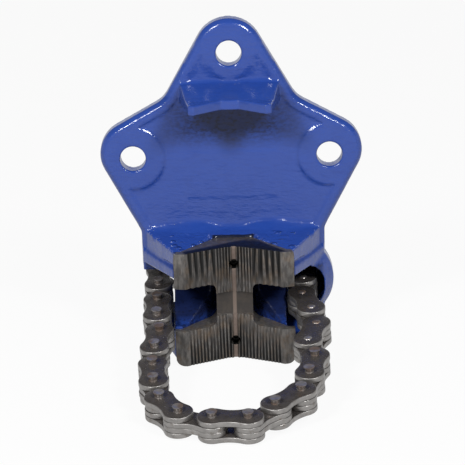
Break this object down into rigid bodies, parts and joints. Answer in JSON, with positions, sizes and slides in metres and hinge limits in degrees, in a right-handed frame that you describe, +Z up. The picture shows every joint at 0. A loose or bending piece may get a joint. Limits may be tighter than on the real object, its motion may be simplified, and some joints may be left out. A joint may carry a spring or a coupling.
{
  "type": "chain pipe vise",
  "caption": "Bench-mounted chain pipe vise: blue three-lug cast base with pipe rest, reversible V jaw and a leaf chain drawn tight by a screw with a T-handle nut.",
  "frame": {"origin": "middle between the two side bolt holes, on the bench face of the base plate", "axes": "+Z up along the plate towards its top lug, +Y back into the bench that the plate is bolted to, +X to the right as seen from the front"},
  "size_m": [0.1492, 0.2543, 0.1915],
  "materials": {
    "blue_casting": "thick glossy blue enamel over a rough sand casting",
    "jaw_steel": "dark hardened steel with machined teeth, lightly rusted",
    "screw_steel": "plain oiled steel",
    "handle_steel": "zinc-plated steel",
    "chain_plate_steel": "dark oiled plates with bright cut edges",
    "pin_steel": "oiled steel with spots of rust"
  },
  "bodies": {
    "base": {"body_casting": "blue_casting", "reversible_jaw": "jaw_steel", "jaw_screws": "screw_steel", "thrust_washer": "screw_steel"},
    "nut": {"handle_nut": "handle_steel"},
    "bar": {"tommy_bar": "handle_steel", "bar_knobs": "handle_steel"},
    "screw": {"chain_screw": "screw_steel", "screw_stop": "screw_steel"},
    "outer_01": {"outer_link_01": "chain_plate_steel", "link_pins_01": "pin_steel"},
    "inner_01": {"inner_link_01": "chain_plate_steel"},
    "outer_02": {"outer_link_02": "chain_plate_steel", "link_pins_02": "pin_steel"},
    "inner_02": {"inner_link_02": "chain_plate_steel"},
    "outer_03": {"outer_link_03": "chain_plate_steel", "link_pins_03": "pin_steel"},
    "inner_03": {"inner_link_03": "chain_plate_steel"},
    "outer_04": {"outer_link_04": "chain_plate_steel", "link_pins_04": "pin_steel"},
    "inner_04": {"inner_link_04": "chain_plate_steel"},
    "outer_05": {"outer_link_05": "chain_plate_steel", "link_pins_05": "pin_steel"},
    "inner_05": {"inner_link_05": "chain_plate_steel"},
    "outer_06": {"outer_link_06": "chain_plate_steel", "link_pins_06": "pin_steel"},
    "inner_06": {"inner_link_06": "chain_plate_steel"},
    "outer_07": {"outer_link_07": "chain_plate_steel", "link_pins_07": "pin_steel"},
    "inner_07": {"inner_link_07": "chain_plate_steel"},
    "outer_08": {"outer_link_08": "chain_plate_steel", "link_pins_08": "pin_steel"},
    "inner_08": {"inner_link_08": "chain_plate_steel"},
    "outer_09": {"outer_link_09": "chain_plate_steel", "link_pins_09": "pin_steel"},
    "inner_09": {"inner_link_09": "chain_plate_steel"},
    "outer_10": {"outer_link_10": "chain_plate_steel", "link_pins_10": "pin_steel"},
    "inner_10": {"inner_link_10": "chain_plate_steel"},
    "outer_11": {"outer_link_11": "chain_plate_steel", "link_pins_11": "pin_steel"}
  },
  "joints": [
    {"name": "nut_turn", "type": "hinge", "parent": "base", "child": "nut", "pos_m": [0.04048, 0.033, -0.07527], "axis": [0, 1, 0], "range_deg": [-822, 2057]},
    {"name": "bar_slide", "type": "slide", "parent": "nut", "child": "bar", "axis": [0, 0, 1], "range_m": [-0.052, 0.018]},
    {"name": "screw_slide", "type": "slide", "parent": "base", "child": "screw", "axis": [0, 1, 0], "range_m": [-0.01, 0.004]},
    {"name": "pin_01", "type": "hinge", "parent": "screw", "child": "outer_01", "pos_m": [0.04048, 0.00758, -0.07527], "axis": [-0.0349, -0.1563, 0.9871], "range_deg": [0, 1]},
    {"name": "pin_02", "type": "hinge", "parent": "outer_01", "child": "inner_01", "pos_m": [0.03981, -0.01122, -0.07827], "axis": [0.0349, 0.1563, -0.9871], "range_deg": [-2, 0]},
    {"name": "pin_03", "type": "hinge", "parent": "inner_01", "child": "outer_02", "pos_m": [0.03848, -0.02998, -0.08129], "axis": [-0.0349, -0.1563, 0.9871], "range_deg": [0, 8]},
    {"name": "pin_04", "type": "hinge", "parent": "outer_02", "child": "inner_02", "pos_m": [0.04309, -0.04826, -0.08402], "axis": [0.0349, 0.1563, -0.9871], "range_deg": [-40, 0]},
    {"name": "pin_05", "type": "hinge", "parent": "inner_02", "child": "outer_03", "pos_m": [0.04524, -0.06697, -0.08691], "axis": [-0.0349, -0.1563, 0.9871], "range_deg": [0, 40]},
    {"name": "pin_06", "type": "hinge", "parent": "outer_03", "child": "inner_03", "pos_m": [0.03984, -0.08498, -0.08995], "axis": [0.0349, 0.1563, -0.9871], "range_deg": [-40, 0]},
    {"name": "pin_07", "type": "hinge", "parent": "inner_03", "child": "outer_04", "pos_m": [0.04298, -0.10355, -0.09278], "axis": [-0.0349, -0.1563, 0.9871], "range_deg": [0, 40]},
    {"name": "pin_08", "type": "hinge", "parent": "outer_04", "child": "inner_04", "pos_m": [0.03935, -0.122, -0.09583], "axis": [0.0349, 0.1563, -0.9871], "range_deg": [-40, 0]},
    {"name": "pin_09", "type": "hinge", "parent": "inner_04", "child": "outer_05", "pos_m": [0.03442, -0.14015, -0.09888], "axis": [-0.0349, -0.1563, 0.9871], "range_deg": [0, 40]},
    {"name": "pin_10", "type": "hinge", "parent": "outer_05", "child": "inner_05", "pos_m": [0.02049, -0.15291, -0.10139], "axis": [0.0349, 0.1563, -0.9871], "range_deg": [-40, 0]},
    {"name": "pin_11", "type": "hinge", "parent": "inner_05", "child": "outer_06", "pos_m": [0.00613, -0.16517, -0.10384], "axis": [-0.0349, -0.1563, 0.9871], "range_deg": [0, 40]},
    {"name": "pin_12", "type": "hinge", "parent": "outer_06", "child": "inner_06", "pos_m": [-0.01277, -0.16278, -0.10413], "axis": [0.0349, 0.1563, -0.9871], "range_deg": [-40, 0]},
    {"name": "pin_13", "type": "hinge", "parent": "inner_06", "child": "outer_07", "pos_m": [-0.03042, -0.15563, -0.10363], "axis": [-0.0349, -0.1563, 0.9871], "range_deg": [0, 40]},
    {"name": "pin_14", "type": "hinge", "parent": "outer_07", "child": "inner_07", "pos_m": [-0.04065, -0.13971, -0.10146], "axis": [0.0349, 0.1563, -0.9871], "range_deg": [-40, 0]},
    {"name": "pin_15", "type": "hinge", "parent": "inner_07", "child": "outer_08", "pos_m": [-0.04428, -0.12122, -0.09866], "axis": [-0.0349, -0.1563, 0.9871], "range_deg": [0, 40]},
    {"name": "pin_16", "type": "hinge", "parent": "outer_08", "child": "inner_08", "pos_m": [-0.04511, -0.10242, -0.09572], "axis": [0.0349, 0.1563, -0.9871], "range_deg": [-40, 0]},
    {"name": "pin_17", "type": "hinge", "parent": "inner_08", "child": "outer_09", "pos_m": [-0.04445, -0.08362, -0.09272], "axis": [-0.0349, -0.1563, 0.9871], "range_deg": [0, 40]},
    {"name": "pin_18", "type": "hinge", "parent": "outer_09", "child": "inner_09", "pos_m": [-0.04213, -0.06495, -0.08968], "axis": [0.0349, 0.1563, -0.9871], "range_deg": [-40, 0]},
    {"name": "pin_19", "type": "hinge", "parent": "inner_09", "child": "outer_10", "pos_m": [-0.04395, -0.04621, -0.08677], "axis": [-0.0349, -0.1563, 0.9871], "range_deg": [0, 40]},
    {"name": "pin_20", "type": "hinge", "parent": "outer_10", "child": "inner_10", "pos_m": [-0.04412, -0.0274, -0.0838], "axis": [0.0349, 0.1563, -0.9871], "range_deg": [-40, 0]},
    {"name": "pin_21", "type": "hinge", "parent": "inner_10", "child": "outer_11", "pos_m": [-0.04379, -0.00859, -0.08081], "axis": [-0.0349, -0.1563, 0.9871], "range_deg": [0, 40]}
  ],
  "couplings": [
    {"joint": "screw_slide", "follows": "nut_turn", "m_per_rad": -0.00027852}
  ]
}
